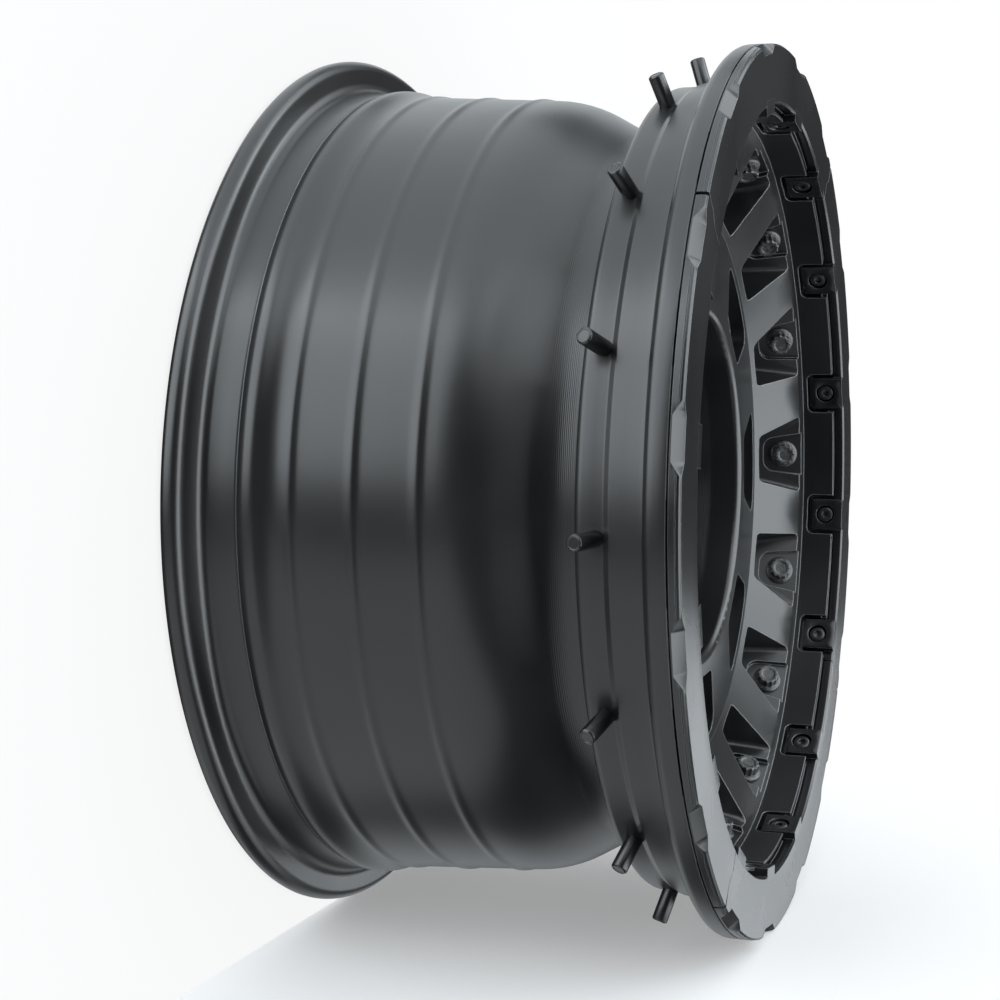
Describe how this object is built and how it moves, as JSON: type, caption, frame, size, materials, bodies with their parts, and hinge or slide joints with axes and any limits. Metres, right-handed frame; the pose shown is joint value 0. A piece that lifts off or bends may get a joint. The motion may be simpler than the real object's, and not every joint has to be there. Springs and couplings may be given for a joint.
{
  "type": "off-road car wheel",
  "caption": "Black alloy car wheel with a drop-centre barrel, a spoked dish face, a screwed segmented lip ring and bead bolts that pass out through the rim.",
  "frame": {"origin": "on the wheel axis, at the end of the inboard flange that the wheel stands on", "axes": "+Z along the wheel axis, out through the face; +X through the middle of one bead bolt"},
  "size_m": [0.4712, 0.4712, 0.2453],
  "materials": {
    "black_coat": "satin black powder coat on cast aluminium",
    "ring_black_coat": "satin black coat on machined aluminium, with bare-looking notch facets",
    "black_steel": "black oxide steel fasteners"
  },
  "bodies": {
    "root": {"rim": "black_coat", "lip_ring_segment_1": "ring_black_coat", "lip_ring_segment_2": "ring_black_coat", "lip_ring_segment_3": "ring_black_coat", "lip_ring_segment_4": "ring_black_coat", "ring_screw_1": "black_steel", "ring_screw_2": "black_steel", "ring_screw_3": "black_steel", "ring_screw_4": "black_steel", "ring_screw_5": "black_steel", "ring_screw_6": "black_steel", "ring_screw_7": "black_steel", "ring_screw_8": "black_steel", "ring_screw_9": "black_steel", "ring_screw_10": "black_steel", "ring_screw_11": "black_steel", "ring_screw_12": "black_steel", "ring_screw_13": "black_steel", "ring_screw_14": "black_steel", "ring_screw_15": "black_steel", "ring_screw_16": "black_steel", "bead_bolt_1": "black_steel", "bead_bolt_2": "black_steel", "bead_bolt_3": "black_steel", "bead_bolt_4": "black_steel", "bead_bolt_5": "black_steel", "bead_bolt_6": "black_steel", "bead_bolt_7": "black_steel", "bead_bolt_8": "black_steel", "bead_bolt_9": "black_steel", "bead_bolt_10": "black_steel", "bead_bolt_11": "black_steel", "bead_bolt_12": "black_steel", "bead_bolt_13": "black_steel", "bead_bolt_14": "black_steel", "bead_bolt_15": "black_steel", "bead_bolt_16": "black_steel"}
  },
  "joints": []
}
